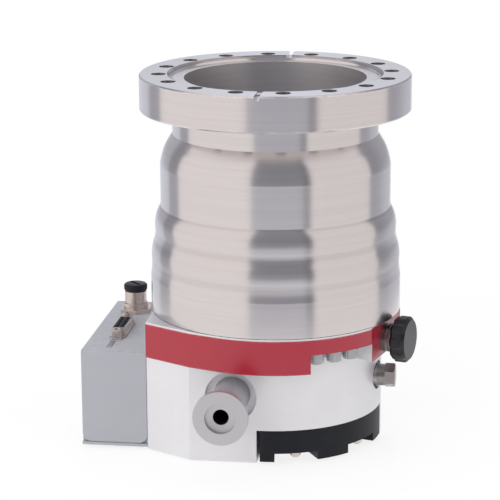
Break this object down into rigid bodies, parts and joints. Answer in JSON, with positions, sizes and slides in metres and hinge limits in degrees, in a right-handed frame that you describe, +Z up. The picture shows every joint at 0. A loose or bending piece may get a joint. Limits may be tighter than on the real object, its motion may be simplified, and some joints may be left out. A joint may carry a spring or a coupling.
{
  "type": "turbomolecular vacuum pump",
  "caption": "Upright turbomolecular vacuum pump with a bolted inlet flange, bladed rotor, side foreline port, vent valve and electronics box.",
  "frame": {"origin": "centre of the inlet flange's top face, on the rotor axis", "axes": "+Z up along the rotor axis, out of the inlet; the foreline port points along -Y; the electronics box is on the -X side"},
  "size_m": [0.1862, 0.1738, 0.2094],
  "materials": {
    "base_body": "machined and nickel plated aluminium",
    "bearing_balls": "silicon nitride ceramic",
    "bearing_cage": "phenolic cage",
    "bearing_damper": "rubber damping ring",
    "bearing_inner_ring": "bearing steel",
    "bearing_nut": "turned steel",
    "bearing_outer_ring": "bearing steel",
    "bottom_cover": "moulded black plastic",
    "bottom_cover_screws": "steel screws",
    "connector_barrel": "nickel plated",
    "connector_cap": "black plastic",
    "connector_cap_liner": "flat seal",
    "connector_flange": "nickel plated",
    "connector_insert": "black plastic",
    "dsub_insert": "black plastic",
    "dsub_shell": "tinned steel",
    "dsub_standoffs": "nickel plated",
    "electronics_board": "circuit board",
    "electronics_case": "grey powder coat on aluminium",
    "electronics_panel": "grey powder coat on aluminium",
    "electronics_plate": "grey powder coat on aluminium",
    "electronics_plate_screws": "steel countersunk screws",
    "foreline_port": "turned stainless steel",
    "holweck_sleeve": "carbon fibre tube",
    "holweck_stator": "milled aluminium",
    "housing": "turned stainless steel",
    "housing_screws": "steel socket screws",
    "housing_seal": "fluoroelastomer ring",
    "label_band": "printed foil, left bare",
    "magnet_bearing_rotor": "magnet rings",
    "magnet_bearing_stator": "magnet rings",
    "motor_core": "laminated steel",
    "motor_magnet": "magnet ring",
    "motor_windings": "copper wire",
    "purge_plug": "nickel plated steel",
    "purge_washer": "soft aluminium ring",
    "reservoir_cap": "black plastic screw cap",
    "reservoir_cap_seal": "ring seal",
    "reservoir_felt": "felt soaked with lubricant",
    "rotor": "milled high strength aluminium",
    "rotor_shaft": "ground steel",
    "rubber_feet": "rubber feet",
    "safety_bearing": "bearing steel",
    "spacer_rings": "turned aluminium",
    "star_holder": "milled aluminium",
    "stator_discs": "milled aluminium",
    "status_window": "tinted light window",
    "vent_collar": "nickel plated brass",
    "vent_knob": "moulded black plastic",
    "vent_seal": "sealing disc",
    "vent_stem": "turned steel"
  },
  "bodies": {
    "pump": {"base_body": "base_body", "bearing_damper": "bearing_damper", "bearing_outer_ring": "bearing_outer_ring", "bottom_cover": "bottom_cover", "bottom_cover_screws": "bottom_cover_screws", "connector_barrel": "connector_barrel", "connector_flange": "connector_flange", "connector_insert": "connector_insert", "dsub_insert": "dsub_insert", "dsub_shell": "dsub_shell", "dsub_standoffs": "dsub_standoffs", "electronics_board": "electronics_board", "electronics_case": "electronics_case", "electronics_panel": "electronics_panel", "electronics_plate": "electronics_plate", "electronics_plate_screws": "electronics_plate_screws", "foreline_port": "foreline_port", "holweck_stator": "holweck_stator", "housing": "housing", "housing_screws": "housing_screws", "housing_seal": "housing_seal", "label_band": "label_band", "magnet_bearing_stator": "magnet_bearing_stator", "motor_core": "motor_core", "motor_windings": "motor_windings", "purge_plug": "purge_plug", "purge_washer": "purge_washer", "reservoir_cap": "reservoir_cap", "reservoir_cap_seal": "reservoir_cap_seal", "reservoir_felt": "reservoir_felt", "rubber_feet": "rubber_feet", "safety_bearing": "safety_bearing", "spacer_rings": "spacer_rings", "star_holder": "star_holder", "stator_discs": "stator_discs", "status_window": "status_window", "vent_collar": "vent_collar"},
    "rotor": {"rotor": "rotor", "rotor_shaft": "rotor_shaft", "holweck_sleeve": "holweck_sleeve", "motor_magnet": "motor_magnet", "magnet_bearing_rotor": "magnet_bearing_rotor", "bearing_inner_ring": "bearing_inner_ring", "bearing_nut": "bearing_nut"},
    "bearing_cage": {"bearing_cage": "bearing_cage", "bearing_balls": "bearing_balls"},
    "vent_slider": {"vent_seal": "vent_seal"},
    "vent_screw": {"vent_stem": "vent_stem", "vent_knob": "vent_knob"},
    "cap_slider": {"connector_cap_liner": "connector_cap_liner"},
    "screw_cap": {"connector_cap": "connector_cap"}
  },
  "joints": [
    {"name": "rotor_spin", "type": "hinge", "parent": "pump", "child": "rotor", "pos_m": [0, 0, -0.1094], "axis": [0, 0, 1], "continuous": true},
    {"name": "cage_spin", "type": "hinge", "parent": "pump", "child": "bearing_cage", "pos_m": [0, 0, -0.1814], "axis": [0, 0, 1], "continuous": true},
    {"name": "vent_travel", "type": "slide", "parent": "pump", "child": "vent_slider", "axis": [0.9659, -0.2588, 0], "range_m": [0, 0.002]},
    {"name": "vent_turn", "type": "hinge", "parent": "vent_slider", "child": "vent_screw", "pos_m": [0.06443, -0.01726, -0.1459], "axis": [0.9659, -0.2588, 0], "range_deg": [0, 720]},
    {"name": "cap_rise", "type": "slide", "parent": "pump", "child": "cap_slider", "axis": [0, 0, 1], "range_m": [0, 0.003]},
    {"name": "cap_turn", "type": "hinge", "parent": "cap_slider", "child": "screw_cap", "pos_m": [-0.0894, 0.0395, -0.1394], "axis": [0, 0, 1], "range_deg": [0, 1080]}
  ],
  "couplings": [
    {"joint": "cage_spin", "follows": "rotor_spin", "ratio": 0.371},
    {"joint": "vent_turn", "follows": "vent_travel", "rad_per_m": 6283},
    {"joint": "cap_turn", "follows": "cap_rise", "rad_per_m": 6283}
  ]
}
